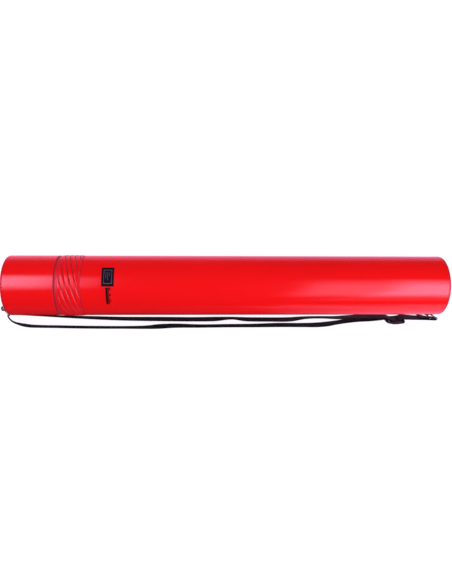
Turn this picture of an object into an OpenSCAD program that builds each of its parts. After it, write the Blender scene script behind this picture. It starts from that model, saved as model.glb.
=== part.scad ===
// Telescopic drawing tube, closed, lying on its side along X.
// The head end points along -X, the loading end along +X and the floor is z = 0.

/* [Tube] */
// Outside diameter of the barrel and of the head
tube_d = 96; // [90:0.5:100]
// Closed length over both end caps
tube_l = 700; // [690:5:720]
// Wall of the outer barrel
barrel_wall = 2; // [1.8:0.1:2.2]
// Outside diameter of the inner barrel
inner_d = 87; // [86:0.5:87]
// Wall of the inner barrel
inner_wall = 1.5; // [1.2:0.1:1.6]
// Length of the smooth head, cap included
head_l = 81.6; // [76:0.2:86]
// Thickness of each end cap's flange
flange_t = 3; // [2.5:0.1:3.5]

/* [Lock collar] */
// Length of the twist-lock collar
collar_l = 39.6; // [38:0.2:44]
// Length of the smooth band ahead of the collar's grip
collar_band = 4.5; // [4:0.5:6]
// How far the grip's ribs stand out of the tube's surface
rib_rise = 0.8; // [0.6:0.1:1]
// Depth of the grooves between the ribs
groove_depth = 1.3; // [1:0.1:1.6]
// Number of helical grooves
groove_count = 10; // [6:1:12]
// Travel along the axis of one turn of a groove
groove_lead = 78.2; // [60:0.2:90]

/* [Strap and rings] */
// Width of the webbing
strap_w = 25; // [23:1:25]
// Thickness of the webbing
strap_t = 1.5; // [1.2:0.1:1.6]
// Wire diameter of the D-rings
wire_d = 2.4; // [2:0.1:2.6]
// Inside length of a D-ring's straight bar
ring_w = 26; // [26:0.5:27]
// Thickness of the strap slider's plate
slider_t = 3; // [2.5:0.1:3.5]

/* [Hidden] */
$fn = 128;

red = [0.92, 0.08, 0.09];
deep_red = [0.8, 0.06, 0.08];
black = [0.07, 0.07, 0.08];
grey = [0.55, 0.55, 0.58];
chrome = [0.85, 0.85, 0.87];

// Radii
tube_r = tube_d / 2;
bore_r = tube_r - barrel_wall;
inner_r = inner_d / 2;
inner_bore_r = inner_r - inner_wall;
crest_r = tube_r + rib_rise;
bearing_gap = 0.1;
joint_gap = 0.4;

// The tube lies on the crests of the grip
axis_z = crest_r;

// Places along the axis
end_x = tube_l / 2;
cap_x = -end_x + flange_t;
head_x1 = -end_x + head_l;
collar_x0 = head_x1 + joint_gap;
grip_x0 = collar_x0 + collar_band;
collar_x1 = collar_x0 + collar_l;
barrel_x0 = collar_x1 + 0.3;
barrel_x1 = end_x - flange_t - joint_gap;
plug_x = end_x - flange_t;
cap_round = 2.6;

// Neck that the collar turns on
neck_r = bore_r - 0.06;
neck_x0 = collar_x0 + 12;
bush_x1 = barrel_x0 + 12;
lip_t = 1.7;
bead_x = neck_x0 + 16;
bead_w = 3;
bead_rise = 0.4;

// Inner barrel and its stop
spigot_l = 12;
inner_x1 = end_x - 19;
guide_l = 8;

// Grip relief
sleeve_r = tube_r - 1.05;
core_r = tube_r - 1.1;
grip_rings = 12;
grip_sides = 15 * groove_count;
groove_span = 0.18;
// Turn of the grooves about the axis, in degrees
groove_turn = 12.5;

// Printed mark on the barrel: a dark panel and a narrow strip of ticks
mark_x = -196;
mark_l = 19;
mark_t = 0.15;

// D-ring geometry: the arc's radius is half the bar's length between wire centres
wire_r = wire_d / 2;
ring_r = (ring_w + wire_d) / 2;
ring_z = 23;
hole_r = 2.6;
ear_t = 3;
ear_plate = [2, 17, 22];
head_ear_r = 4.2;
head_hole_r = 2.2;
head_ring_at = [-end_x - 19.5, -38, ring_z];
head_ring_lean = 18;
head_ring_turn = 38;
tail_ring_at = [end_x - 9.5, -46.5, ring_z];
tail_ring_turn = 50;
tail_ear_r = 4.5;
rivet_seat = 0.1;

// Saddle under the tail ring: angles run from the top towards the -Y side
saddle_from = 112;
saddle_to = 142;
saddle_t = 1.2;
saddle_x0 = end_x - 27;
saddle_x1 = end_x - 3.6;

// Slider: a three-bar buckle, bowed along its length, that leans with the strap
slider_at = [284, -58.8, 17.4];
slider_size = [32, slider_t, 33];
slider_lean = 18;
slider_bow_r = 55;
slot_l = 6.4;
slot_h = strap_w + 2;
end_bar_l = 5.5;

// Route of the strap, from the tail ring round the head ring to the slider: x, y, lean of the top
// away from the tube in degrees, rise off the floor
STRAP = [
    [327, -52.6, 16, 7.6], [334, -52.9, 13, 9], [342, -53.6, 6, 10.3], [347.6, -53.4, 2, 10.5],
    [351.2, -53.2, 0, 10.5], [353.7, -54.7, 0, 10.5], [353.4, -57.1, 0, 10.5], [350.8, -57.9, 1, 10.5],
    [344, -56.8, 6, 10.3], [335, -55.3, 13, 9], [322, -54.5, 16, 7], [309, -53.9, 18, 5.6],
    [300.2, -53.7, 18, 5], [296, -54.6, 18, 5], [293.4, -55.9, 18, 5], [289.7, -60.4, 18, 5],
    [287.8, -61.5, 18, 5], [284, -61.5, 18, 5], [280.2, -61.5, 18, 5], [278.3, -60.4, 18, 5],
    [274.6, -55.9, 18, 5], [272, -54.6, 18, 5], [267.8, -53.7, 18, 5], [256, -55, 18, 4],
    [242, -56.6, 17, 2], [222, -58, 15, 1], [204, -60.4, 12, 0.5], [186, -63.2, 11, 0],
    [170, -65.6, 14, 0], [152, -67, 14, 0], [125, -67.2, 12, 0], [90, -67, 12, 0], [45, -67.8, 9, 0],
    [0, -68, 8, 0], [-46, -68.4, 8, 0], [-88, -67.8, 12, 0], [-116, -69, 14, 0], [-138, -70.2, 8, 0],
    [-172, -70.4, 5, 0], [-214, -70.2, 5, 0], [-255, -69.6, 5, 0], [-286, -68.8, 5, 1],
    [-308, -68.4, 5, 2], [-326, -67.6, 6, 3.6], [-338, -65.8, 6, 5], [-346, -63.8, 4, 6.2],
    [-352, -61.8, 2, 6.9], [-356.5, -59.4, 1, 7.3], [-360, -56.2, 0, 7.5], [-362.6, -52.8, 0, 7.5],
    [-363.7, -49.6, 0, 7.5], [-362.6, -47, 0, 7.5], [-360, -46.8, 0, 7.5], [-354, -47.4, 0, 7.3],
    [-346, -48, 0, 7], [-336, -48.5, 0, 6.4], [-320, -49.4, 0, 5], [-292, -50.9, 2, 3],
    [-260, -52.5, 5, 1.2], [-220, -54.2, 8, 0], [-180, -55.6, 10, 0], [-140, -56.2, 12, 0],
    [-100, -56.6, 13, 0], [-60, -57, 13, 0], [-20, -56.6, 13, 0], [8, -55.2, 6, 0], [30, -57, 12, 0],
    [68, -57.6, 13, 0], [107, -57.4, 13, 0], [133, -54.6, 6, 0], [159, -54, 5, 0],
    [185, -54.6, 8, 0], [212, -53.6, 12, 0.5], [238, -52.8, 16, 1.8], [256, -52.2, 18, 4],
    [266, -51.9, 18, 5], [270, -52.1, 18, 5], [272.4, -52.8, 18, 5], [276, -54.4, 18, 5],
    [280.4, -56.2, 18, 5], [286.5, -56.3, 18, 5]
];
strap_floor = 0.3;

// How much the webbing narrows for each millimetre that it rises to a ring
strap_squeeze = 0.2;

// A solid of revolution about the tube's axis, from [radius, x] points
module turned(profile) {
    translate([0, 0, axis_z])
        rotate([0, 90, 0])
            rotate_extrude()
                polygon(profile);
}

// A plain tube from x0 to x1, with its outer corners chamfered by c0 and c1
module pipe(x0, x1, r_in, r_out, c0 = 0, c1 = 0) {
    turned([
        [r_in, x0], [r_out - c0, x0], [r_out, x0 + c0],
        [r_out, x1 - c1], [r_out - c1, x1], [r_in, x1]
    ]);
}

// A curved plate on the barrel; its angles run from the top towards the -Y side
module sector(x0, x1, r_in, r_out, from, to) {
    translate([x0, 0, axis_z])
        rotate([0, 90, 0])
            rotate([0, 0, from - 180])
                rotate_extrude(angle = to - from)
                    translate([r_in, 0])
                        square([r_out - r_in, x1 - x0]);
}

// Puts a piece on the barrel, pointing outwards, at an angle from the top towards the -Y side
module on_barrel(x, r, angle) {
    translate([x, -r * sin(angle), axis_z + r * cos(angle)])
        rotate([angle, 0, 0])
            children();
}

module outer_barrel() {
    color(red)
        pipe(barrel_x0, barrel_x1, bore_r, tube_r, 0.3, 0.4);
}

module mouth_bush() {
    color(deep_red)
        turned([
            [inner_r + bearing_gap, neck_x0], [neck_r, neck_x0],
            [neck_r, bead_x - bead_w / 2], [bore_r + bead_rise, bead_x - bead_w / 2],
            [bore_r + bead_rise, bead_x + bead_w / 2], [neck_r, bead_x + bead_w / 2],
            [neck_r, barrel_x0], [bore_r, barrel_x0], [bore_r, bush_x1], [inner_r + bearing_gap, bush_x1]
        ]);
}

module collet_ring() {
    split_w = 4;
    color(black)
        difference() {
            pipe(collar_x0 + lip_t + 0.3, neck_x0, inner_r + 0.2, bore_r - bearing_gap);
            translate([collar_x0, -split_w / 2, axis_z])
                cube([neck_x0 - collar_x0 - 1, split_w, tube_r]);
        }
}

module printed_mark() {
    color(black) {
        sector(mark_x, mark_x + mark_l, tube_r, tube_r + mark_t, -34, 3);
        sector(mark_x + 6.5, mark_x + 13.5, tube_r, tube_r + mark_t, 5, 38);
    }
}

module strap_tab() {
    color(black)
        difference() {
            union() {
                sector(saddle_x0, saddle_x1, tube_r, tube_r + saddle_t, saddle_from, saddle_to);
                intersection() {
                    translate([tail_ring_at.x - tail_ear_r, tail_ring_at.y, ring_z - ear_t / 2])
                        cube([2 * tail_ear_r, 10, ear_t]);
                    translate([saddle_x0, 0, axis_z])
                        rotate([0, 90, 0])
                            difference() {
                                cylinder(r = tube_r + 9, h = saddle_x1 - saddle_x0);
                                cylinder(r = tube_r + saddle_t / 2, h = saddle_x1 - saddle_x0);
                            }
                }
                translate([tail_ring_at.x, tail_ring_at.y, ring_z - ear_t / 2])
                    cylinder(r = tail_ear_r, h = ear_t);
            }
            translate([tail_ring_at.x, tail_ring_at.y, 0])
                cylinder(r = hole_r, h = 2 * ring_z);
        }
}

module rivet(head_r, head_h) {
    cylinder(r = head_r, h = head_h * 0.6);
    translate([0, 0, head_h * 0.6])
        cylinder(r1 = head_r, r2 = head_r * 0.6, h = head_h * 0.4);
}

module tab_rivets() {
    color(grey)
        for (angle = [117, 137])
            on_barrel(saddle_x0 + 6, tube_r + saddle_t - rivet_seat, angle)
                rivet(2.6, 1.3);
}

// Width of the strap where it has risen off the floor
function strap_width(rise) = strap_w - strap_squeeze * rise;

// Height of the strap's middle above the floor, for a lean and a rise
function strap_z(lean, rise) = strap_floor + rise + (strap_w * cos(lean) + strap_t * abs(sin(lean))) / 2;

// Lean of the strap along X where it follows the leaning head ring
function head_lean(x) = head_ring_lean * max(0, min(1, (-320 - x) / 30));

// Direction of the strap's width at one point of the route
function strap_up(p) =
    let (v = [sin(head_lean(p.x)) * cos(p[2]), -sin(p[2]), cos(head_lean(p.x)) * cos(p[2])])
    v / norm(v);

// The four corners of the strap's section at point i of the route
function strap_ring(i) =
    let (
        n = len(STRAP),
        a = STRAP[max(i - 1, 0)],
        b = STRAP[min(i + 1, n - 1)],
        p = STRAP[i],
        along = [b.x - a.x, b.y - a.y, 0] / norm([b.x - a.x, b.y - a.y]),
        up = strap_up(p),
        side = cross(up, along) / norm(cross(up, along)),
        mid = [p.x, p.y, strap_z(p[2], p[3])]
    )
    [for (c = [[1, 1], [-1, 1], [-1, -1], [1, -1]])
        mid + side * c.x * strap_t / 2 + up * c.y * strap_width(p[3]) / 2];

module strap() {
    rings = len(STRAP);
    points = [for (i = [0:rings - 1], p = strap_ring(i)) p];
    sides = [for (i = [0:rings - 2], j = [0:3])
        let (a = 4 * i + j, b = 4 * i + (j + 1) % 4)
        each [[a, a + 4, b + 4], [a, b + 4, b]]];
    last = 4 * (rings - 1);
    caps = [[0, 1, 2], [0, 2, 3], [last, last + 2, last + 1], [last, last + 3, last + 2]];
    color(black)
        polyhedron(points, concat(sides, caps));
}

module strap_slider() {
    size = slider_size;
    slot_x = size.x / 2 - end_bar_l - slot_l / 2;
    color(black)
        translate(slider_at)
            rotate([slider_lean, 0, 0])
                difference() {
                    intersection() {
                        translate([0, slider_bow_r, 0])
                            difference() {
                                cylinder(r = slider_bow_r + slider_t / 2, h = size.z, center = true);
                                cylinder(r = slider_bow_r - slider_t / 2, h = size.z + 1, center = true);
                            }
                        cube([size.x, 4 * size.y, size.z], center = true);
                    }
                    for (side = [-1, 1])
                        translate([side * slot_x, 0, 0])
                            cube([slot_l, 8 * size.y, slot_h], center = true);
                }
}

module lock_collar() {
    groove_r = bore_r + bead_rise + bearing_gap;
    groove_half = bead_w / 2 + joint_gap;
    color(red)
        turned([
            [inner_r + 0.4, collar_x0], [tube_r - 0.6, collar_x0], [tube_r, collar_x0 + 0.6],
            [tube_r, grip_x0 - 0.1], [core_r, grip_x0 - 0.1], [core_r, collar_x1],
            [bore_r, collar_x1], [bore_r, bead_x + groove_half], [groove_r, bead_x + groove_half],
            [groove_r, bead_x - groove_half], [bore_r, bead_x - groove_half],
            [bore_r, collar_x0 + lip_t], [inner_r + 0.4, collar_x0 + lip_t]
        ]);
}

// 0 at the middle of a groove and 1 on a rib, for a turn fraction u of one rib's pitch
function rib_shape(u) =
    let (d = min(u - floor(u), 1 - (u - floor(u))))
    d > groove_span ? 1 : (1 - cos(180 * d / groove_span)) / 2;

// 1 over most of the grip's length, falling to 0 at both of its ends, more slowly at the barrel's
function grip_fade(t) = min(1, 16 * t) * min(1, 5 * (1 - t));

// Outer radius of the grip at length fraction t and angle a
function grip_r(t, a) =
    let (
        x = t * (collar_x1 - grip_x0),
        u = ((a + groove_turn) / 360 + x / groove_lead) * groove_count,
        relief = rib_rise - groove_depth * (1 - rib_shape(u))
    )
    tube_r + relief * grip_fade(t);

module collar_grip() {
    step = 360 / grip_sides;
    span = collar_x1 - grip_x0;
    outer = [for (i = [0:grip_rings], j = [0:grip_sides - 1])
        let (t = i / grip_rings, a = j * step, r = grip_r(t, a))
        [grip_x0 + t * span, r * sin(a), r * cos(a)]];
    inner = [for (i = [0, grip_rings], j = [0:grip_sides - 1])
        [grip_x0 + i / grip_rings * span, sleeve_r * sin(j * step), sleeve_r * cos(j * step)]];
    base = len(outer);
    top = grip_rings * grip_sides;
    skin = [for (i = [0:grip_rings - 1], j = [0:grip_sides - 1])
        let (k = (j + 1) % grip_sides, a = i * grip_sides, b = a + grip_sides)
        each [[a + j, b + j, b + k], [a + j, b + k, a + k]]];
    bore = [for (j = [0:grip_sides - 1])
        let (k = (j + 1) % grip_sides)
        [base + j, base + k, base + grip_sides + k, base + grip_sides + j]];
    ends = [for (j = [0:grip_sides - 1])
        let (k = (j + 1) % grip_sides)
        each [
            [j, k, base + k, base + j],
            [top + k, top + j, base + grip_sides + j, base + grip_sides + k]
        ]];
    color(red)
        translate([0, 0, axis_z])
            polyhedron(concat(outer, inner), concat(skin, bore, ends));
}

module inner_barrel() {
    color(deep_red)
        pipe(cap_x, inner_x1, inner_bore_r, inner_r);
}

module guide_bush() {
    color(black)
        pipe(inner_x1 - guide_l, inner_x1, inner_r, bore_r - bearing_gap, 0.4, 0.4);
}

module head_sleeve() {
    web = 7;
    shell_r = tube_r - 2;
    color(red)
        turned([
            [inner_r, cap_x], [tube_r, cap_x], [tube_r, head_x1 - 0.8], [tube_r - 0.8, head_x1],
            [inner_r, head_x1], [inner_r, head_x1 - web], [shell_r, head_x1 - web],
            [shell_r, cap_x + web], [inner_r, cap_x + web]
        ]);
}

module head_cap() {
    color(red)
        turned([
            [0, -end_x], [tube_r - cap_round, -end_x], [tube_r - cap_round / 2, -end_x + cap_round * 0.14],
            [tube_r - cap_round * 0.14, -end_x + cap_round / 2], [tube_r, -end_x + cap_round],
            [tube_r, cap_x - 0.2], [tube_r - 0.2, cap_x], [inner_bore_r - 0.05, cap_x],
            [inner_bore_r - 0.05, cap_x + spigot_l], [inner_bore_r - 3, cap_x + spigot_l],
            [inner_bore_r - 3, cap_x], [0, cap_x]
        ]);
}

module head_ear() {
    plate = ear_plate;
    plate_r = tube_r - cap_round;
    at = head_ring_at;
    color(black)
        difference() {
            union() {
                intersection() {
                    translate([-end_x - plate.x, at.y - 4, at.z - plate.z / 2])
                        cube(plate);
                    translate([-end_x - plate.x, 0, axis_z])
                        rotate([0, 90, 0])
                            cylinder(r = plate_r, h = plate.x);
                }
                translate([at.x, at.y - head_ear_r, at.z - ear_t / 2])
                    cube([-end_x - at.x - 1, 2 * head_ear_r, ear_t]);
                translate([at.x, at.y, at.z - ear_t / 2])
                    cylinder(r = head_ear_r, h = ear_t);
            }
            translate([at.x, at.y, 0])
                cylinder(r = head_hole_r, h = 2 * ring_z);
        }
}

module ear_rivets() {
    at = [-end_x - ear_plate.x + rivet_seat, head_ring_at.y + 9, ring_z];
    half_pitch = 5.4;
    color(grey)
        for (side = [-1, 1])
            translate([at.x, at.y, at.z + half_pitch * side])
                rotate([0, -90, 0])
                    rivet(2, 1);
}

module end_plug() {
    seal_x = plug_x - 7;
    seal_half = 1.1;
    spigot_r = bore_r - bearing_gap;
    color(red)
        turned([
            [0, plug_x], [spigot_r - 4, plug_x], [spigot_r - 4, plug_x - spigot_l],
            [spigot_r - 0.6, plug_x - spigot_l], [spigot_r, plug_x - spigot_l + 0.6],
            [spigot_r, seal_x - seal_half], [spigot_r - 2, seal_x - seal_half],
            [spigot_r - 2, seal_x + seal_half], [spigot_r, seal_x + seal_half],
            [spigot_r, plug_x], [tube_r - 0.2, plug_x], [tube_r, plug_x + 0.2],
            [tube_r, end_x - cap_round], [tube_r - cap_round * 0.14, end_x - cap_round / 2],
            [tube_r - cap_round / 2, end_x - cap_round * 0.14], [tube_r - cap_round, end_x], [0, end_x]
        ]);
}

module plug_seal() {
    section_r = 0.9;
    color(black)
        translate([plug_x - 7, 0, axis_z])
            rotate([0, 90, 0])
                rotate_extrude()
                    translate([bore_r - 0.1 - section_r, 0])
                        circle(r = section_r, $fn = 48);
}

// A wire D-ring in the YZ plane: its arc passes the origin and its bar lies on the -Y side
module d_ring() {
    rotate([0, 90, 0])
        translate([0, -ring_r, 0])
            rotate_extrude(angle = 180)
                translate([ring_r, 0])
                    circle(r = wire_r, $fn = 48);
    translate([0, -ring_r, -ring_r])
        cylinder(r = wire_r, h = 2 * ring_r, $fn = 48);
    for (side = [-1, 1])
        translate([0, -ring_r, side * ring_r])
            sphere(r = wire_r, $fn = 48);
}

module head_ring() {
    color(chrome)
        translate(head_ring_at)
            rotate([0, head_ring_lean, 0])
                rotate([0, 0, head_ring_turn])
                    d_ring();
}

module tail_ring() {
    color(chrome)
        translate(tail_ring_at)
            rotate([0, 0, tail_ring_turn])
                d_ring();
}

outer_barrel();
mouth_bush();
collet_ring();
printed_mark();
strap_tab();
tab_rivets();
strap();
strap_slider();
lock_collar();
collar_grip();
inner_barrel();
guide_bush();
head_sleeve();
head_cap();
head_ear();
ear_rivets();
end_plug();
plug_seal();
head_ring();
tail_ring();
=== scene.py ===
import math

import bmesh
import bpy
from mathutils import Matrix, Vector


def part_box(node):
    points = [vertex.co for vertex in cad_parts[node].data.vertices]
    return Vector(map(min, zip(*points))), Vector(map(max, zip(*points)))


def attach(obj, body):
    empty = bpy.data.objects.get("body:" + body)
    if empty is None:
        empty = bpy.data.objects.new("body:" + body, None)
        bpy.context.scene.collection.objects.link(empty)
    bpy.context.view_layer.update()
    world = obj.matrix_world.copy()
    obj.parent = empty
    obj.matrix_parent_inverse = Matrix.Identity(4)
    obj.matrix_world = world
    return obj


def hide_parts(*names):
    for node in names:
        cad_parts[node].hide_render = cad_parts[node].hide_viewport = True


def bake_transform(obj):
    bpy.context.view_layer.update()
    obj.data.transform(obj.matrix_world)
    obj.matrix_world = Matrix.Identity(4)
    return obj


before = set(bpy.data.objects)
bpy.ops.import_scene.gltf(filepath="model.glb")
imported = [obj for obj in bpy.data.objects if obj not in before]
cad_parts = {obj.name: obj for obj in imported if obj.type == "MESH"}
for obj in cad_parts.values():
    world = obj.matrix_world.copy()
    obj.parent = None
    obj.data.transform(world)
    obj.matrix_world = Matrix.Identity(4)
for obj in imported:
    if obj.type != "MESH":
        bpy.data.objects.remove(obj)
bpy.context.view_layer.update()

MM = 0.001

# ---------------------------------------------------------------- places from the frame

AXIS_Z = (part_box("outer_barrel")[0].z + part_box("outer_barrel")[1].z) / 2
TUBE_R = 48 * MM
BORE_R = 46 * MM
INNER_R = 43.5 * MM
INNER_BORE_R = 42 * MM
FLANGE = 3 * MM
FLANGE_FLAT_R = 44.4 * MM
FLANGE_ROUND = 3.2 * MM
FACE_RINGS = (39 * MM, 15 * MM)
RIB_RISE = 0.8 * MM
GROOVE_DEPTH = 1.3 * MM
GROOVES = 10
GROOVE_LEAD = 78.2 * MM
GROOVE_SPAN = 0.19
GROOVE_TURN = 12.5 / 360
SEGMENTS = 256

STRAP_W = 25.0
STRAP_T = 1.5
STRAP_FLOOR = 0.3
STRAP_SQUEEZE = 0.2
HEAD_RING_LEAN = 18
HEAD_RING_TURN = 38
HEAD_RING_AT = Vector((-369.5, -38, 23)) * MM
TAIL_RING_AT = Vector((340.5, -46.5, 23)) * MM
TAIL_RING_TURN = 50
WIRE_R = 1.2 * MM
RING_R = 14.2 * MM
RING_CORNER = 2.2 * MM
SLIDER_AT = Vector((284, -58.8, 17.4)) * MM
SLIDER_LEAN = 18
SLIDER_BOW_R = 55 * MM
SLIDER_HALF = (16 * MM, 16.5 * MM)
SLIDER_HALF_T = 1.5 * MM
SLIDER_EDGE = 0.55 * MM
SLOT_X = 7.3 * MM
SLOT_HALF = (3.2 * MM, 13.2 * MM)

# Route of the strap in millimetres, as in the CAD: x, y, lean away from the tube in degrees, rise
STRAP = [
    [327, -52.6, 16, 7.6], [334, -52.9, 13, 9], [342, -53.6, 6, 10.3], [347.6, -53.4, 2, 10.5],
    [351.2, -53.2, 0, 10.5], [353.7, -54.7, 0, 10.5], [353.4, -57.1, 0, 10.5],
    [350.8, -57.9, 1, 10.5], [344, -56.8, 6, 10.3], [335, -55.3, 13, 9], [322, -54.5, 16, 7],
    [309, -53.9, 18, 5.6], [300.2, -53.7, 18, 5], [296, -54.6, 18, 5], [293.4, -55.9, 18, 5],
    [289.7, -60.4, 18, 5], [287.8, -61.5, 18, 5], [284, -61.5, 18, 5], [280.2, -61.5, 18, 5],
    [278.3, -60.4, 18, 5], [274.6, -55.9, 18, 5], [272, -54.6, 18, 5], [267.8, -53.7, 18, 5],
    [256, -55, 18, 4], [242, -56.6, 17, 2], [222, -58, 15, 1], [204, -60.4, 12, 0.5],
    [186, -63.2, 11, 0], [170, -65.6, 14, 0], [152, -67, 14, 0], [125, -67.2, 12, 0],
    [90, -67, 12, 0], [45, -67.8, 9, 0], [0, -68, 8, 0], [-46, -68.4, 8, 0], [-88, -67.8, 12, 0],
    [-116, -69, 14, 0], [-138, -70.2, 8, 0], [-172, -70.4, 5, 0], [-214, -70.2, 5, 0],
    [-255, -69.6, 5, 0], [-286, -68.8, 5, 1], [-308, -68.4, 5, 2], [-326, -67.6, 6, 3.6],
    [-338, -65.8, 6, 5], [-346, -63.8, 4, 6.2], [-352, -61.8, 2, 6.9], [-356.5, -59.4, 1, 7.3],
    [-360, -56.2, 0, 7.5], [-362.6, -52.8, 0, 7.5], [-363.7, -49.6, 0, 7.5],
    [-362.6, -47, 0, 7.5], [-360, -46.8, 0, 7.5], [-354, -47.4, 0, 7.3], [-346, -48, 0, 7],
    [-336, -48.5, 0, 6.4], [-320, -49.4, 0, 5], [-292, -50.9, 2, 3], [-260, -52.5, 5, 1.2],
    [-220, -54.2, 8, 0], [-180, -55.6, 10, 0], [-140, -56.2, 12, 0], [-100, -56.6, 13, 0],
    [-60, -57, 13, 0], [-20, -56.6, 13, 0], [8, -55.2, 6, 0], [30, -57, 12, 0],
    [68, -57.6, 13, 0], [107, -57.4, 13, 0], [133, -54.6, 6, 0], [159, -54, 5, 0],
    [185, -54.6, 8, 0], [212, -53.6, 12, 0.5], [238, -52.8, 16, 1.8], [256, -52.2, 18, 4],
    [266, -51.9, 18, 5], [270, -52.1, 18, 5], [272.4, -52.8, 18, 5], [276, -54.4, 18, 5],
    [280.4, -56.2, 18, 5], [286.5, -56.3, 18, 5]
]


# ---------------------------------------------------------------- small tools

def smooth(mesh, angle=35):
    mesh.polygons.foreach_set("use_smooth", [True] * len(mesh.polygons))
    mesh.set_sharp_from_angle(angle=math.radians(angle))


def add_object(name, data):
    obj = bpy.data.objects.new(name, data)
    bpy.context.scene.collection.objects.link(obj)
    return obj


def new_object(name, verts, faces, material, angle=35):
    mesh = bpy.data.meshes.new(name)
    mesh.from_pydata([tuple(v) for v in verts], [], faces)
    mesh.validate()
    mesh.materials.append(material)
    smooth(mesh, angle)
    return add_object(name, mesh)


def add_outline(curve, points):
    """Adds a closed run of straight pieces through points to a curve."""
    spline = curve.splines.new("POLY")
    spline.points.add(len(points) - 1)
    for point, p in zip(spline.points, points):
        point.co = (*p, 1)
    spline.use_cyclic_u = True


def place(obj, body, slot, *nodes):
    """Rides on a CAD body and stands for the named CAD nodes, which it hides. slot is not used."""
    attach(obj, body)
    if nodes:
        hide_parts(*nodes)
    return obj


def applied(obj):
    """Turns a curve, or a mesh with modifiers, into a plain mesh object of the same name."""
    bpy.context.view_layer.update()
    graph = bpy.context.evaluated_depsgraph_get()
    mesh = bpy.data.meshes.new_from_object(obj.evaluated_get(graph), depsgraph=graph)
    name = obj.name
    mesh.transform(obj.matrix_world)
    bpy.data.objects.remove(obj)
    return add_object(name, mesh)


def rounded(points, radius, steps=5, closed=True):
    """The outline with each corner rounded. radius is one number, or one for each point."""
    out = []
    n = len(points)
    for i in range(n):
        p = Vector(points[i])
        r = radius[i] if hasattr(radius, "__len__") else radius
        if r <= 0 or (not closed and i in (0, n - 1)):
            out.append(p)
            continue
        a = (Vector(points[i - 1]) - p)
        b = (Vector(points[(i + 1) % n]) - p)
        turn = a.angle(b)
        cut = min(r / math.tan(turn / 2), a.length * 0.49, b.length * 0.49)
        a = p + a.normalized() * cut
        b = p + b.normalized() * cut
        for k in range(steps + 1):
            t = k / steps
            out.append(a * (1 - t) ** 2 + p * 2 * t * (1 - t) + b * t * t)
    return out


def guarded(profile, gap=0.25 * MM):
    """Adds a point near both ends of each long side, which keeps a rounding's shading to itself."""
    out = []
    for i, p in enumerate(profile):
        a, b = Vector(p), Vector(profile[(i + 1) % len(profile)])
        out.append(a)
        if (b - a).length > 5 * gap:
            step = (b - a).normalized() * gap
            out += [a + step, b - step]
    return out


def lathe(name, profile, material, segments=SEGMENTS, angle=35):
    """Revolves a closed outline of (radius, x) points about the tube's axis."""
    verts, faces = [], []
    profile = guarded([tuple(p)[:2] for p in profile])
    n = len(profile)
    for k in range(segments):
        a = 2 * math.pi * k / segments
        for r, x in profile:
            verts.append((x, r * math.sin(a), AXIS_Z + r * math.cos(a)))
    for k in range(segments):
        m = (k + 1) % segments
        for i in range(n):
            j = (i + 1) % n
            faces.append((k * n + i, m * n + i, m * n + j, k * n + j))
    obj = new_object(name, verts, faces, material, angle)
    tidy(obj)
    return obj


def tidy(obj):
    """Joins points that coincide, such as those on the axis, and turns every face outwards."""
    bm = bmesh.new()
    bm.from_mesh(obj.data)
    bmesh.ops.remove_doubles(bm, verts=bm.verts, dist=1e-6)
    bmesh.ops.dissolve_degenerate(bm, edges=bm.edges, dist=1e-7)
    bmesh.ops.recalc_face_normals(bm, faces=bm.faces)
    bm.to_mesh(obj.data)
    bm.free()


def softened(node, body, slot, material, width):
    """A copy of a CAD node with its edges rounded over."""
    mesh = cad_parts[node].data.copy()
    mesh.materials.clear()
    mesh.materials.append(material)
    obj = add_object(node + "_piece", mesh)
    bm = bmesh.new()
    bm.from_mesh(mesh)
    bmesh.ops.remove_doubles(bm, verts=bm.verts, dist=1e-6)
    bmesh.ops.dissolve_limit(bm, angle_limit=math.radians(2), verts=bm.verts, edges=bm.edges)
    bm.to_mesh(mesh)
    bm.free()
    bevel = obj.modifiers.new("edges", "BEVEL")
    bevel.width = width
    bevel.segments = 3
    bevel.limit_method = "ANGLE"
    bevel.angle_limit = math.radians(40)
    obj = applied(obj)
    smooth(obj.data, 40)
    return place(obj, body, slot, node)


# ---------------------------------------------------------------- materials

# Painted shade: the deeper crimson painted into the grooves and onto the rounded edges at seams.
GROOVE_PAINTED_SHADE = (0.42, 0.0008, 0.01)
GROOVE_DULL = 0.55
RIB_PITCH = 2.1 * MM
PICK_PITCH = 1.7 * MM


def new_material(name, colour, roughness, **sockets):
    material = bpy.data.materials.new(name)
    material.use_nodes = True
    tree = material.node_tree
    shader = tree.nodes["Principled BSDF"]
    shader.inputs["Base Color"].default_value = (*colour, 1)
    shader.inputs["Roughness"].default_value = roughness
    for key, value in sockets.items():
        shader.inputs[key.replace("_", " ")].default_value = value
    return material, tree, shader


def node(tree, kind, **values):
    made = tree.nodes.new(kind)
    for key, value in values.items():
        if hasattr(made, key):
            setattr(made, key, value)
        else:
            made.inputs[key.replace("_", " ")].default_value = value
    return made


def object_space(tree, scale=(1, 1, 1)):
    coords = node(tree, "ShaderNodeTexCoord")
    mapping = node(tree, "ShaderNodeMapping")
    mapping.inputs["Scale"].default_value = scale
    tree.links.new(coords.outputs["Object"], mapping.inputs["Vector"])
    return mapping.outputs["Vector"]


def noise(tree, vector, scale, detail=3.0, rough=0.5):
    made = node(tree, "ShaderNodeTexNoise", Scale=scale, Detail=detail, Roughness=rough)
    tree.links.new(vector, made.inputs["Vector"])
    return made.outputs["Fac"]


def spread(tree, fac, low, high, from_low=0.3, from_high=0.7):
    made = node(tree, "ShaderNodeMapRange")
    made.inputs["From Min"].default_value = from_low
    made.inputs["From Max"].default_value = from_high
    made.inputs["To Min"].default_value = low
    made.inputs["To Max"].default_value = high
    tree.links.new(fac, made.inputs["Value"])
    return made.outputs["Result"]


def feed(tree, socket, value):
    """Links a socket to another one, or sets it to a number or a colour."""
    if isinstance(value, bpy.types.NodeSocket):
        tree.links.new(value, socket)
    else:
        socket.default_value = (*value, 1) if hasattr(value, "__len__") else value


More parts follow.
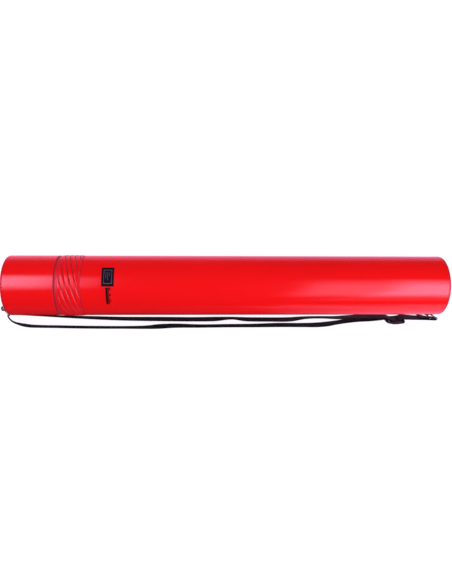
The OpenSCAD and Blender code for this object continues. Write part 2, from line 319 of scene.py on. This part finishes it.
def mix_colour(tree, fac, a, b):
    made = node(tree, "ShaderNodeMix", data_type="RGBA")
    feed(tree, made.inputs[0], fac)
    feed(tree, made.inputs[6], a)
    feed(tree, made.inputs[7], b)
    return made.outputs[2]


def maths(tree, operation, *values):
    made = node(tree, "ShaderNodeMath", operation=operation)
    for socket, value in zip(made.inputs, values):
        feed(tree, socket, value)
    return made.outputs[0]


def bump(tree, shader, height, distance, strength=1.0, under=None):
    made = node(tree, "ShaderNodeBump", Strength=strength, Distance=distance)
    tree.links.new(height, made.inputs["Height"])
    if under is not None:
        tree.links.new(under, made.inputs["Normal"])
    tree.links.new(made.outputs["Normal"], shader.inputs["Normal"])
    return made.outputs["Normal"]


def red_plastic(name, colour, rough_low, rough_high, ripple, groove=False):
    """Glossy polypropylene: faint flow shading, fine drawn lines and a slight ripple. With groove,
    the colour is painted deeper as painted shade where the mesh's groove attribute is high, in the
    grooves and at seams, and the surface is duller there."""
    material, tree, shader = new_material(name, colour, rough_low, IOR=1.49)
    flow = noise(tree, object_space(tree, (1, 1, 1)), 9, 2)
    base = mix_colour(tree, flow, tuple(c * 0.93 for c in colour), colour)
    scuffs = noise(tree, object_space(tree, (0.6, 14, 14)), 22, 5, 0.6)
    rough = spread(tree, scuffs, rough_low, rough_high)
    if groove:
        deep = node(tree, "ShaderNodeAttribute", attribute_name="groove").outputs["Fac"]
        # painted shade: deeper crimson in the grooves and at seams
        base = mix_colour(tree, deep, base, GROOVE_PAINTED_SHADE)
        rough = maths(tree, "MULTIPLY_ADD", deep, GROOVE_DULL, rough)
    tree.links.new(base, shader.inputs["Base Color"])
    tree.links.new(rough, shader.inputs["Roughness"])
    wave = bump(tree, shader, noise(tree, object_space(tree, (0.35, 1, 1)), 34, 1), ripple)
    grain = noise(tree, object_space(tree), 900, 2)
    bump(tree, shader, grain, ripple * 0.02, 1.0, wave)
    return material


def moulded_black(name, colour, roughness, grain_scale, shine=0.22):
    """Dull moulded plastic, rubber or ink: cloudy colour and a fine grain."""
    material, tree, shader = new_material(name, colour, roughness, IOR=1.48,
                                          Specular_IOR_Level=shine)
    cloud = noise(tree, object_space(tree), 60, 3)
    darker, paler = (tuple(c * k for c in colour) for k in (0.7, 1.5))
    tree.links.new(mix_colour(tree, cloud, darker, paler), shader.inputs["Base Color"])
    rough = spread(tree, cloud, roughness - 0.06, roughness + 0.1)
    tree.links.new(rough, shader.inputs["Roughness"])
    bump(tree, shader, noise(tree, object_space(tree), grain_scale, 2), 0.00012, 0.6)
    return material


def metal(name, colour, rough_low, rough_high, stretch):
    material, tree, shader = new_material(name, colour, rough_low, Metallic=1.0)
    rubbed = noise(tree, object_space(tree, stretch), 300, 4)
    tree.links.new(spread(tree, rubbed, rough_low, rough_high), shader.inputs["Roughness"])
    tree.links.new(mix_colour(tree, rubbed, tuple(c * 0.88 for c in colour), colour),
                   shader.inputs["Base Color"])
    bump(tree, shader, rubbed, 0.00001, 0.5)
    return material


def webbing(name):
    """Black woven webbing: ribs along the band and picks across it, from its own UV map."""
    material, tree, shader = new_material(name, (0.004, 0.004, 0.004), 0.8, IOR=1.4,
                                          Specular_IOR_Level=0.18, Sheen_Weight=0.02,
                                          Sheen_Roughness=0.45)
    uv = node(tree, "ShaderNodeUVMap", uv_map="band")
    parts = node(tree, "ShaderNodeSeparateXYZ")
    tree.links.new(uv.outputs["UV"], parts.inputs["Vector"])
    ribs = maths(tree, "SINE", maths(tree, "MULTIPLY", parts.outputs["Y"], 2 * math.pi / RIB_PITCH))
    shift = maths(tree, "MULTIPLY", maths(tree, "SIGN", ribs), math.pi / 2)
    turn = maths(tree, "MULTIPLY", parts.outputs["X"], 2 * math.pi / PICK_PITCH)
    picks = maths(tree, "SINE", maths(tree, "ADD", turn, shift))
    weave = maths(tree, "MULTIPLY", picks, maths(tree, "ABSOLUTE", ribs))
    fuzz = noise(tree, object_space(tree), 1500, 2)
    bump(tree, shader, maths(tree, "MULTIPLY_ADD", fuzz, 0.7, weave), 0.00022, 0.8)
    # Painted shade: the colour follows the weave's height, darker in its hollows and paler on its
    # raised threads.
    light = spread(tree, weave, 0.0, 1.0, -1.0, 1.0)
    tree.links.new(mix_colour(tree, light, (0.002, 0.002, 0.002), (0.009, 0.009, 0.009)),
                   shader.inputs["Base Color"])
    tree.links.new(spread(tree, fuzz, 0.6, 0.85), shader.inputs["Roughness"])
    return material


RED = (0.84, 0.0065, 0.0055)
M_RED = red_plastic("red_shell_plastic", RED, 0.10, 0.17, 0.00009, True)
M_HEAD = red_plastic("red_head_plastic", RED, 0.13, 0.2, 0.00009, True)
M_GRIP = red_plastic("red_grip_plastic", RED, 0.13, 0.2, 0.00006, True)
M_INNER = red_plastic("inner_tube_plastic", (0.62, 0.006, 0.008), 0.22, 0.32, 0.00006)
M_BLACK = moulded_black("black_moulding", (0.009, 0.009, 0.01), 0.42, 1100)
M_SLIDER = moulded_black("black_acetal", (0.007, 0.006, 0.008), 0.4, 1400, 0.16)
M_RUBBER = moulded_black("seal_rubber_skin", (0.018, 0.018, 0.018), 0.6, 700)
M_PRINT = moulded_black("printed_ink", (0.004, 0.004, 0.004), 0.5, 2000, 0.06)
M_PRINT_LIGHT = moulded_black("printed_light_ink", (0.13, 0.09, 0.13), 0.5, 2000, 0.06)
M_CHROME = metal("ring_chrome_plate", (0.36, 0.37, 0.39), 0.2, 0.34, (1, 1, 1))
M_STEEL = metal("rivet_steel_skin", (0.55, 0.55, 0.57), 0.25, 0.4, (1, 1, 1))
M_WEB = webbing("strap_webbing")
M_THREAD = moulded_black("stitch_thread", (0.03, 0.03, 0.033), 0.6, 2400)


# ---------------------------------------------------------------- camera

FOCAL = 33.3
CAMERA_AT = Vector((-0.0383, -0.0108, 0.9295))
CAMERA_AIM = Vector((-0.0031, -0.0108, AXIS_Z))


def make_camera():
    data = bpy.data.cameras.new("camera")
    data.lens = FOCAL
    data.sensor_width = 36
    camera = add_object("camera", data)
    back = (CAMERA_AT - CAMERA_AIM).normalized()
    right = Vector((0, 1, 0)).cross(back).normalized()
    turned = Matrix((right, back.cross(right), back)).transposed().to_4x4()
    camera.matrix_world = Matrix.Translation(CAMERA_AT) @ turned
    bpy.context.scene.camera = camera


make_camera()


# ---------------------------------------------------------------- strap

def strap_width(rise):
    return STRAP_W - STRAP_SQUEEZE * rise


def strap_point(row):
    x, y, lean, rise = row
    a = math.radians(lean)
    z = STRAP_FLOOR + rise + (STRAP_W * math.cos(a) + STRAP_T * abs(math.sin(a))) / 2
    return Vector((x, y, z))


def strap_up(row):
    """Direction up the band's width: it leans from the tube, and with the ring near the head."""
    b = math.radians(HEAD_RING_LEAN * max(0, min(1, (-320 - row[0]) / 30)))
    a = math.radians(row[2])
    up = Vector((math.sin(b) * math.cos(a), -math.sin(a), math.cos(b) * math.cos(a)))
    return up.normalized()


def catmull(p0, p1, p2, p3, t):
    """Centripetal Catmull-Rom between p1 and p2; the knots follow a row's first two numbers."""
    def gap(a, b):
        return max(math.dist(a[:2], b[:2]) ** 0.5, 1e-3)

    t1 = gap(p0, p1)
    t2 = t1 + gap(p1, p2)
    t3 = t2 + gap(p2, p3)
    u = t1 + t * (t2 - t1)

    def lerp(a, b, ta, tb):
        w = (u - ta) / (tb - ta)
        return [x * (1 - w) + y * w for x, y in zip(a, b)]

    a1 = lerp(p0, p1, 0, t1)
    a2 = lerp(p1, p2, t1, t2)
    a3 = lerp(p2, p3, t2, t3)
    b1 = lerp(a1, a2, 0, t2)
    b2 = lerp(a2, a3, t1, t3)
    return lerp(b1, b2, t1, t2)


def strap_rows(step):
    rows = []
    n = len(STRAP)
    for i in range(n - 1):
        a, b = STRAP[i], STRAP[i + 1]
        before = STRAP[i - 1] if i else [2 * p - q for p, q in zip(a, b)]
        after = STRAP[i + 2] if i + 2 < n else [2 * q - p for p, q in zip(a, b)]
        count = max(1, round(math.dist(a[:2], b[:2]) / step))
        rows += [catmull(before, a, b, after, k / count) for k in range(count)]
    return rows + [STRAP[-1]]


def band_section():
    """Half widths and half thicknesses round the band: flat faces, thick selvedges, round edges."""
    across = [(-1 + 2 * i / 18) for i in range(19)]
    points = []
    for side in (1, -1):
        for v in across[::side]:
            edge = max(0, (abs(v) - 0.84) / 0.16)
            thick = 0.8
            if abs(v) > 0.995:
                thick = 0.35
            elif edge < 0.83:
                thick += 0.2 * math.sin(math.pi * min(edge * 1.2, 1))
            points.append((v, side * thick))
    return points


def add_stitches(verts, faces, frames):
    """A sewn box on the outer face of the strap, where its end is folded back."""
    half_box, thread, across, lengthwise = 9.0, 0.24, 7, 5
    first, last = 328.0, 341.0
    frames = [f for f in frames if first <= f[0].x <= last]
    heights = [-half_box + 2 * half_box * k / (across - 1) for k in range(across)]
    spots = [(x, v, True) for v in heights for x in (first, last)]
    spots += [(first + (last - first) * (k + 0.5) / lengthwise, v, False)
              for k in range(lengthwise) for v in (-half_box, half_box)]
    for x, v, turned in spots:
        mid, along, up, side = min(frames, key=lambda f: abs(f[0].x - x))
        centre = mid + up * v + side * (0.4 * STRAP_T + 0.1)
        a, b = (up, along) if turned else (along, up)
        start = len(verts)
        for i in (-1, 1):
            for j in (-1, 1):
                for k in (-1, 1):
                    verts.append((centre + a * i + b * j * thread + side * k * thread) * MM)
        faces += [tuple(start + c for c in quad) for quad in
                  ((0, 1, 3, 2), (4, 6, 7, 5), (0, 4, 5, 1),
                   (2, 3, 7, 6), (0, 2, 6, 4), (1, 5, 7, 3))]


def make_strap():
    rows = strap_rows(1.6)
    mids = [strap_point(r) for r in rows]
    section = band_section()
    n = len(section)
    verts, uvs, faces, frames = [], [], [], []
    run = 0.0
    for i, row in enumerate(rows):
        if i:
            run += (mids[i] - mids[i - 1]).length
        along = mids[min(i + 1, len(rows) - 1)] - mids[max(i - 1, 0)]
        along.z = 0
        up = strap_up(row)
        side = up.cross(along.normalized()).normalized()
        half = strap_width(row[3]) / 2
        frames.append((mids[i], along.normalized(), up, side))
        for v, t in section:
            verts.append((mids[i] + up * v * half + side * t * STRAP_T / 2) * MM)
            uvs.append((run * MM, (v * half + (STRAP_W if t < 0 else 0)) * MM))
    for i in range(len(rows) - 1):
        for j in range(n):
            k = (j + 1) % n
            faces.append((i * n + j, i * n + k, i * n + n + k, i * n + n + j))
    last = (len(rows) - 1) * n
    faces += [tuple(range(n - 1, -1, -1)), tuple(range(last, last + n))]
    woven = len(faces)
    turn = max(range(len(rows)), key=lambda i: rows[i][0])
    add_stitches(verts, faces, frames[turn:turn + 60])
    uvs += [(0.0, 0.0)] * (len(verts) - len(uvs))
    obj = new_object("strap_band", verts, faces, M_WEB, 50)
    obj.data.materials.append(M_THREAD)
    for face in obj.data.polygons[woven:]:
        face.material_index = 1
    layer = obj.data.uv_layers.new(name="band")
    for loop in obj.data.loops:
        layer.data[loop.index].uv = uvs[loop.vertex_index]
    bm = bmesh.new()
    bm.from_mesh(obj.data)
    bmesh.ops.recalc_face_normals(bm, faces=bm.faces)
    bm.to_mesh(obj.data)
    bm.free()
    return obj, mids


strap, strap_mids = make_strap()


def d_ring_mesh(name):
    """A wire D in the YZ plane: the arc passes the origin, and the bar stands at -Y."""
    steps = 40
    arc = [Vector((0, -RING_R + RING_R * math.cos(a), RING_R * math.sin(a)))
           for a in [math.pi * (0.5 - k / steps) for k in range(steps + 1)]]
    corners = [RING_CORNER] + [0] * (steps - 1) + [RING_CORNER]
    curve = bpy.data.curves.new(name, "CURVE")
    curve.dimensions = "3D"
    curve.bevel_depth = WIRE_R
    curve.bevel_resolution = 6
    add_outline(curve, rounded(arc, corners, 6))
    obj = applied(add_object(name, curve))
    obj.data.materials.append(M_CHROME)
    smooth(obj.data, 60)
    return obj


def place_ring(name, at, turn, lean, node_name):
    obj = d_ring_mesh(name)
    leant = Matrix.Rotation(math.radians(lean), 4, "Y")
    turned = Matrix.Rotation(math.radians(turn), 4, "Z")
    obj.data.transform(Matrix.Translation(at) @ leant @ turned)
    return place(obj, node_name, "ring_chrome", node_name)


head_ring = place_ring("head_d_ring", HEAD_RING_AT, HEAD_RING_TURN, HEAD_RING_LEAN, "head_ring")
tail_ring = place_ring("tail_d_ring", TAIL_RING_AT, TAIL_RING_TURN, 0, "tail_ring")


def box_outline(mid_x, half_x, half_y, radius, hole=False):
    """Rounded rectangle about (mid_x, 0); a hole runs the other way round."""
    corners = [(-1, -1), (1, -1), (1, 1), (-1, 1)]
    if hole:
        corners = [(-1, -1), (-1, 1), (1, 1), (1, -1)]
    return rounded([(mid_x + i * half_x, j * half_y, 0) for i, j in corners], radius, 8)


def make_slider():
    """A three-bar slider: rounded plate with two slots, bowed along its length."""
    curve = bpy.data.curves.new("slider", "CURVE")
    curve.dimensions = "2D"
    curve.fill_mode = "BOTH"
    curve.extrude = SLIDER_HALF_T - SLIDER_EDGE
    curve.bevel_depth = SLIDER_EDGE
    curve.bevel_resolution = 3
    add_outline(curve, box_outline(0, *(h - SLIDER_EDGE for h in SLIDER_HALF), 4 * MM))
    for slot_x in (-SLOT_X, SLOT_X):
        slot = box_outline(slot_x, *(h + SLIDER_EDGE for h in SLOT_HALF), 1.4 * MM, True)
        add_outline(curve, slot)
    obj = applied(add_object("strap_slider_piece", curve))
    bm = bmesh.new()
    bm.from_mesh(obj.data)
    bmesh.ops.remove_doubles(bm, verts=bm.verts, dist=1e-6)
    for k in range(-15, 16, 2):
        bmesh.ops.bisect_plane(bm, geom=bm.verts[:] + bm.edges[:] + bm.faces[:],
                               plane_co=(k * MM, 0, 0), plane_no=(1, 0, 0))
    for vert in bm.verts:
        vert.co.z -= SLIDER_BOW_R - math.sqrt(SLIDER_BOW_R ** 2 - vert.co.x ** 2)
    bmesh.ops.triangulate(bm, faces=bm.faces)
    bm.to_mesh(obj.data)
    bm.free()
    obj.data.materials.append(M_SLIDER)
    smooth(obj.data, 40)
    turned = Matrix.Rotation(math.radians(SLIDER_LEAN + 90), 4, "X")
    obj.data.transform(Matrix.Translation(SLIDER_AT) @ turned)
    return place(obj, "outer_tube", "black_plastic", "strap_slider")


slider = make_slider()

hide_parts("strap")
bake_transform(strap)


# ---------------------------------------------------------------- tube

def span(node_name):
    lo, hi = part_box(node_name)
    return lo.x, hi.x


def pipe_profile(x0, x1, r_in, r_out, round_by):
    return rounded([(r_in, x0), (r_out, x0), (r_out, x1), (r_in, x1)],
                   [0, round_by[0], round_by[1], 0], 4)


def make_tube():
    x0, x1 = span("outer_barrel")
    barrel = lathe("outer_barrel_shell",
                   pipe_profile(x0, x1, BORE_R, TUBE_R, (0.3 * MM, 0.5 * MM)), M_RED)
    shade_seam(barrel, x1, 0.55 * MM)
    place(barrel, "outer_tube", "red_shell", "outer_barrel")
    x0, x1 = span("inner_barrel")
    inner = lathe("inner_barrel_tube",
                  pipe_profile(x0, x1, INNER_BORE_R, INNER_R, (0, 0.3 * MM)), M_INNER)
    place(inner, "inner_tube", "inner_red", "inner_barrel")
    x0, x1 = span("head_sleeve")
    start = x0 + 0.35 * MM
    head = lathe("head_sleeve_shell", rounded(
        [(INNER_R, start), (TUBE_R, start), (TUBE_R, x1), (INNER_R, x1)],
        [0, 0.3 * MM, 1.2 * MM, 0], 6), M_HEAD)
    shade_seam(head, x0, 0.7 * MM)
    shade_seam(head, x1, 1.25 * MM)
    place(head, "inner_tube", "red_shell", "head_sleeve")


def disc_profile(face, inner_x, spigot_x, spigot_r, spigot_wall):
    """Outline of an end cap: a rounded flange with shallow rings in its face, and a spigot."""
    out = 1 if face > inner_x else -1
    rings = []
    for r in FACE_RINGS:
        rings += [(r - 1.0 * MM, face), (r - 0.4 * MM, face - out * 0.5 * MM),
                  (r + 0.4 * MM, face - out * 0.5 * MM), (r + 1.0 * MM, face)]
    points = [(0, inner_x), (0, face)] + sorted(rings)
    for k in range(13):
        a = math.radians(90 - 7.5 * k)
        points.append((FLANGE_FLAT_R + FLANGE_ROUND * math.cos(a),
                       inner_x + (face - inner_x) * math.sin(a)))
    spigot_bore = spigot_r - spigot_wall
    return points + [(spigot_r, inner_x), (spigot_r, spigot_x + out * 0.5 * MM),
                     (spigot_r - 0.5 * MM, spigot_x), (spigot_bore, spigot_x),
                     (spigot_bore, inner_x)]


def make_caps():
    x0, x1 = span("head_cap")
    cap = lathe("head_cap_shell",
                disc_profile(x0, x0 + FLANGE, x1, INNER_BORE_R - 0.05 * MM, 3 * MM), M_HEAD)
    shade_seam(cap, x0 + FLANGE, 0.5 * MM)
    place(cap, "inner_tube", "red_shell", "head_cap")
    x0, x1 = span("end_plug")
    plug = lathe("end_plug_shell",
                 disc_profile(x1, x1 - FLANGE, x0, BORE_R - 0.1 * MM, 4 * MM), M_RED)
    shade_seam(plug, x1 - FLANGE, 0.5 * MM)
    place(plug, "end_plug", "red_shell", "end_plug")


def shade_seam(obj, seam_x, width):
    """Marks the rounded edge at a seam, where the colour is painted deeper as painted shade."""
    seam = obj.data.attributes.get("groove") or obj.data.attributes.new("groove", "FLOAT", "POINT")
    for vert in obj.data.vertices:
        if abs(vert.co.x - seam_x) < width:
            seam.data[vert.index].value = 1.0


def grip_fade(t):
    return min(1, 16 * t) * min(1, 5 * (1 - t))


def rib_shape(u):
    d = min(u % 1, 1 - u % 1)
    return 1 if d > GROOVE_SPAN else (1 - math.cos(math.pi * d / GROOVE_SPAN)) / 2


def make_grip():
    """The collar's sleeve of helical grooves, which fade out at both ends."""
    x0, x1 = span("collar_grip")
    around, rings = 40 * GROOVES, 72
    back_r = TUBE_R - 1.05 * MM
    verts, faces = [], []

    def add_ring(x, radii):
        for j, r in enumerate(radii):
            a = 2 * math.pi * j / around
            verts.append((x, r * math.sin(a), AXIS_Z + r * math.cos(a)))

    for i in range(rings + 1):
        t = i / rings
        turns = [j / around + GROOVE_TURN + t * (x1 - x0) / GROOVE_LEAD for j in range(around)]
        add_ring(x0 + t * (x1 - x0),
                 [TUBE_R + grip_fade(t) * (RIB_RISE - GROOVE_DEPTH * (1 - rib_shape(u * GROOVES)))
                  for u in turns])
    add_ring(x0, [back_r] * around)
    add_ring(x1, [back_r] * around)
    base, top = (rings + 1) * around, rings * around
    for j in range(around):
        k = (j + 1) % around
        for i in range(rings):
            low, high = i * around, (i + 1) * around
            faces.append((low + j, high + j, high + k, low + k))
        faces.append((base + j, j, k, base + k))
        faces.append((top + j, base + around + j, base + around + k, top + k))
        faces.append((base + j, base + k, base + around + k, base + around + j))
    grip = new_object("collar_grip_ribs", verts, faces, M_GRIP, 50)
    tidy(grip)
    # How deep a point lies in a groove: the material paints shade there.
    depth = grip.data.attributes.new("groove", "FLOAT", "POINT")
    for vert in grip.data.vertices:
        r = math.hypot(vert.co.y, vert.co.z - AXIS_Z)
        depth.data[vert.index].value = max(0, min(1, (TUBE_R + 0.35 * MM - r) / (0.5 * MM)))
    place(grip, "lock_collar", "red_shell", "collar_grip")


def make_collar():
    """The ring beside the grip, its core under the grip, and a lip that closes the seam."""
    x0, x1 = span("lock_collar")
    grip_x0 = span("collar_grip")[0] - 0.1 * MM
    core_r = TUBE_R - 1.1 * MM
    neck_r, neck_x = INNER_R + 0.4 * MM, x0 + 1.7 * MM
    lip_x, lip_r = x0 - 0.3 * MM, TUBE_R - 0.9 * MM
    collar = lathe("lock_collar_shell", rounded(
        [(neck_r, lip_x), (lip_r, lip_x), (lip_r, x0), (TUBE_R, x0), (TUBE_R, grip_x0),
         (core_r, grip_x0), (core_r, x1), (BORE_R, x1), (BORE_R, neck_x), (neck_r, neck_x)],
        [0, 0, 0, 0.8 * MM, 0.15 * MM, 0, 0, 0, 0, 0], 6), M_RED)
    shade_seam(collar, x0, 0.85 * MM)
    place(collar, "lock_collar", "red_shell", "lock_collar")


make_tube()
make_caps()
make_grip()
make_collar()


# ---------------------------------------------------------------- hidden and small CAD nodes

def repaint(node_name, material):
    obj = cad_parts[node_name]
    obj.data.materials.clear()
    obj.data.materials.append(material)


repaint("mouth_bush", M_INNER)
repaint("collet_ring", M_BLACK)
repaint("guide_bush", M_BLACK)
repaint("plug_seal", M_RUBBER)
softened("strap_tab", "outer_tube", "black_plastic", M_BLACK, 0.35 * MM)
softened("tab_rivets", "outer_tube", "rivet_steel", M_STEEL, 0.2 * MM)
softened("head_ear", "inner_tube", "black_plastic", M_BLACK, 0.35 * MM)
softened("ear_rivets", "inner_tube", "rivet_steel", M_STEEL, 0.2 * MM)


# ---------------------------------------------------------------- printed mark

def patch(verts, faces, x0, x1, s0, s1, r0, r1):
    """A thin curved plate on the barrel; s is the arc length from the top towards the -Y side."""
    nx = max(1, round((x1 - x0) / (1.5 * MM)))
    ns = max(2, round((s1 - s0) / (1.0 * MM)))
    start = len(verts)
    for r in (r0, r1):
        for i in range(nx + 1):
            for j in range(ns + 1):
                a = (s0 + (s1 - s0) * j / ns) / TUBE_R
                verts.append((x0 + (x1 - x0) * i / nx, -r * math.sin(a), AXIS_Z + r * math.cos(a)))

    def at(layer, i, j):
        return start + layer * (nx + 1) * (ns + 1) + i * (ns + 1) + j

    for i in range(nx):
        for j in range(ns):
            faces.append((at(1, i, j), at(1, i + 1, j), at(1, i + 1, j + 1), at(1, i, j + 1)))
            faces.append((at(0, i, j), at(0, i, j + 1), at(0, i + 1, j + 1), at(0, i + 1, j)))
    for i in range(nx):
        faces.append((at(0, i, 0), at(0, i + 1, 0), at(1, i + 1, 0), at(1, i, 0)))
        faces.append((at(0, i + 1, ns), at(0, i, ns), at(1, i, ns), at(1, i + 1, ns)))
    for j in range(ns):
        faces.append((at(0, 0, j + 1), at(0, 0, j), at(1, 0, j), at(1, 0, j + 1)))
        faces.append((at(0, nx, j), at(0, nx, j + 1), at(1, nx, j + 1), at(1, nx, j)))


def make_mark():
    """A dark panel with a plain sign of a sheet, and a strip of ruler ticks beside it."""
    x0, x1 = span("printed_mark")
    s = TUBE_R * math.radians(1)
    low, high = TUBE_R + 0.01 * MM, TUBE_R + 0.12 * MM
    verts, faces = [], []
    patch(verts, faces, x0, x1, -34 * s, 3 * s, low, high)
    strip_x, strip_w, base_w = x0 + 6.3 * MM, 7.6 * MM, 3 * MM
    tick_x = strip_x + base_w
    patch(verts, faces, strip_x, tick_x, 5 * s, 38 * s, low, high)
    for k in range(12):
        a = 5 + 2.85 * k
        width = strip_w if k % 4 in (0, 1) else strip_w * 0.7
        patch(verts, faces, tick_x, strip_x + width, a * s, (a + 1.9) * s, low, high)
    mark = new_object("printed_panel", verts, faces, M_PRINT)
    tidy(mark)
    place(mark, "outer_tube", "print", "printed_mark")
    verts, faces = [], []
    high += 0.02 * MM
    for at_x, wide, a0, a1 in ((3.2, 0.7, -29, -2), (15.1, 0.7, -29, -2), (6.4, 0.6, -25, -13),
                               (9.2, 0.6, -25, -9), (12, 0.6, -25, -17),
                               (3.2, 12.6, -29, -28), (3.2, 12.6, -3, -2)):
        start = x0 + at_x * MM
        patch(verts, faces, start, start + wide * MM, a0 * s, a1 * s, low, high)
    lines = new_object("printed_sheet_sign", verts, faces, M_PRINT_LIGHT)
    tidy(lines)
    place(lines, "outer_tube", "print")


make_mark()


# ---------------------------------------------------------------- floor and light

KEY_TINT = (1.0, 0.84, 1.3)
# Painted light: the colour the floor glows in for the tube, with extra strength for diffuse rays.
FLOOR_GLOW_TINT = (1.6, 0.85, 1.4, 1)
FLOOR_BOUNCE = 0.85
FLOOR_SEEN = 0.88
FLOOR_HALF = 6.0
LIGHT_Z = 2.05


def make_floor():
    """White paper that the camera sees as plain white. For the tube it glows as painted light and
    painted reflection: dimmer away from the tube, darker in front of the tube's head, and brighter
    for diffuse rays."""
    corners = [(i * FLOOR_HALF, j * FLOOR_HALF, 0) for i, j in ((-1, -1), (1, -1), (1, 1), (-1, 1))]
    mesh = bpy.data.meshes.new("floor")
    mesh.from_pydata(corners, [], [(0, 1, 2, 3)])
    material = bpy.data.materials.new("floor_paper_glow")
    material.use_nodes = True
    tree = material.node_tree
    tree.nodes.clear()
    coords = node(tree, "ShaderNodeTexCoord")
    parts = node(tree, "ShaderNodeSeparateXYZ")
    tree.links.new(coords.outputs["Object"], parts.inputs["Vector"])
    # Painted light and painted reflection: the glow is darker in front of the tube's head, brighter
    # towards the front right, dimmer far behind the tube, and raised for diffuse bounce.
    level = node(tree, "ShaderNodeMix", data_type="FLOAT")
    feed(tree, level.inputs[0], spread(tree, parts.outputs["Y"], 0.0, 1.0, -0.03, 0.03))
    feed(tree, level.inputs[2], spread(tree, parts.outputs["X"], 0.03, 0.85, 0.06, 0.4))
    feed(tree, level.inputs[3], spread(tree, parts.outputs["Y"], 0.8, 0.06, 0.06, 0.3))
    path = node(tree, "ShaderNodeLightPath")
    strength = maths(tree, "MULTIPLY_ADD", path.outputs["Is Diffuse Ray"], FLOOR_BOUNCE,
                     level.outputs[0])
    seen = node(tree, "ShaderNodeEmission", Color=(1, 1, 1, 1), Strength=FLOOR_SEEN)
    paper = node(tree, "ShaderNodeBsdfDiffuse", Color=(0.2, 0.2, 0.2, 1))
    both = node(tree, "ShaderNodeAddShader")
    tree.links.new(seen.outputs[0], both.inputs[0])
    tree.links.new(paper.outputs[0], both.inputs[1])
    glow = node(tree, "ShaderNodeEmission", Color=FLOOR_GLOW_TINT)
    tree.links.new(strength, glow.inputs["Strength"])
    choose = node(tree, "ShaderNodeMixShader")
    tree.links.new(path.outputs["Is Camera Ray"], choose.inputs[0])
    tree.links.new(glow.outputs[0], choose.inputs[1])
    tree.links.new(both.outputs[0], choose.inputs[2])
    out = node(tree, "ShaderNodeOutputMaterial")
    tree.links.new(choose.outputs[0], out.inputs["Surface"])
    mesh.materials.append(material)
    add_object("floor", mesh)


def area_light(name, size, radiance):
    """A flat rectangular light of the given radiance, which the camera doesn't see."""
    light = bpy.data.lights.new(name, "AREA")
    light.shape = "RECTANGLE"
    light.size, light.size_y = size
    light.energy = radiance * light.size * light.size_y * math.pi
    light.color = KEY_TINT
    obj = add_object(name, light)
    obj.visible_camera = False
    return obj


def softbox(name, x, y, height, radiance):
    """A light facing down, over the rectangle x by y."""
    obj = area_light(name, (x[1] - x[0], y[1] - y[0]), radiance)
    obj.location = ((x[0] + x[1]) / 2, (y[0] + y[1]) / 2, height)


def make_world():
    """A dim room round the tube, in which the camera sees plain pale grey."""
    world = bpy.data.worlds.new("studio")
    world.use_nodes = True
    tree = world.node_tree
    path = node(tree, "ShaderNodeLightPath")
    colour = mix_colour(tree, path.outputs["Is Camera Ray"], (0.03, 0.03, 0.04),
                        (0.95, 0.95, 0.95))
    tree.links.new(colour, tree.nodes["Background"].inputs["Color"])
    bpy.context.scene.world = world


def soft_edged(name, x, y, radiance, steps=4):
    """A softbox whose light falls off towards its long edges: nested lights, one above another."""
    mid, half = (y[0] + y[1]) / 2, (y[1] - y[0]) / 2
    for k in range(steps):
        reach = half * (1.12 - 0.62 * k / (steps - 1))
        softbox(f"{name}_{k}", x, (mid - reach, mid + reach), LIGHT_Z + 0.004 * k,
                radiance / steps)


def panel(name, at, size, radiance, aim=(0, 0, AXIS_Z), glossy=False):
    """A light facing aim; unless it is glossy, nothing shiny mirrors it."""
    obj = area_light(name, size, radiance)
    look = Vector(aim) - Vector(at)
    obj.matrix_world = Matrix.Translation(at) @ look.to_track_quat("-Z", "Z").to_matrix().to_4x4()
    obj.visible_glossy = glossy


make_floor()
make_world()
soft_edged("softbox_left", (-3.2, -0.95), (-0.52, 1.5), 5.0)
soft_edged("softbox_left_rim", (-0.95, -0.83), (-0.48, 1.4), 4.0)
soft_edged("softbox_left_spill", (-0.83, -0.6), (-0.4, 1.2), 1.2)
soft_edged("softbox_right_near", (0.52, 1.0), (-2.0, 0.62), 1.8)
soft_edged("softbox_right_mid", (1.0, 1.6), (-2.0, 0.62), 5.4)
soft_edged("softbox_right_far", (1.6, 3.2), (-2.0, 0.62), 8.6)
soft_edged("softbox_right_tail", (0.9, 3.0), (-3.9, -2.0), 0.5)
panel("fill_front", (2.6, -2.9, 1.2), (1.6, 1.6), 1.2)
panel("fill_back_left", (-3.0, 2.7, 1.6), (1.6, 1.6), 1.2)
panel("fill_back_right", (3.0, 2.7, 1.6), (1.6, 1.6), 1.2)
panel("front_low_near", (0.55, -1.5, 0.19), (0.5, 0.32), 0.35, (0.55, 0, 0.19), True)
panel("front_low_far", (1.6, -1.5, 0.19), (1.6, 0.32), 0.75, (1.6, 0, 0.19), True)

bpy.context.scene.view_settings.view_transform = "Standard"
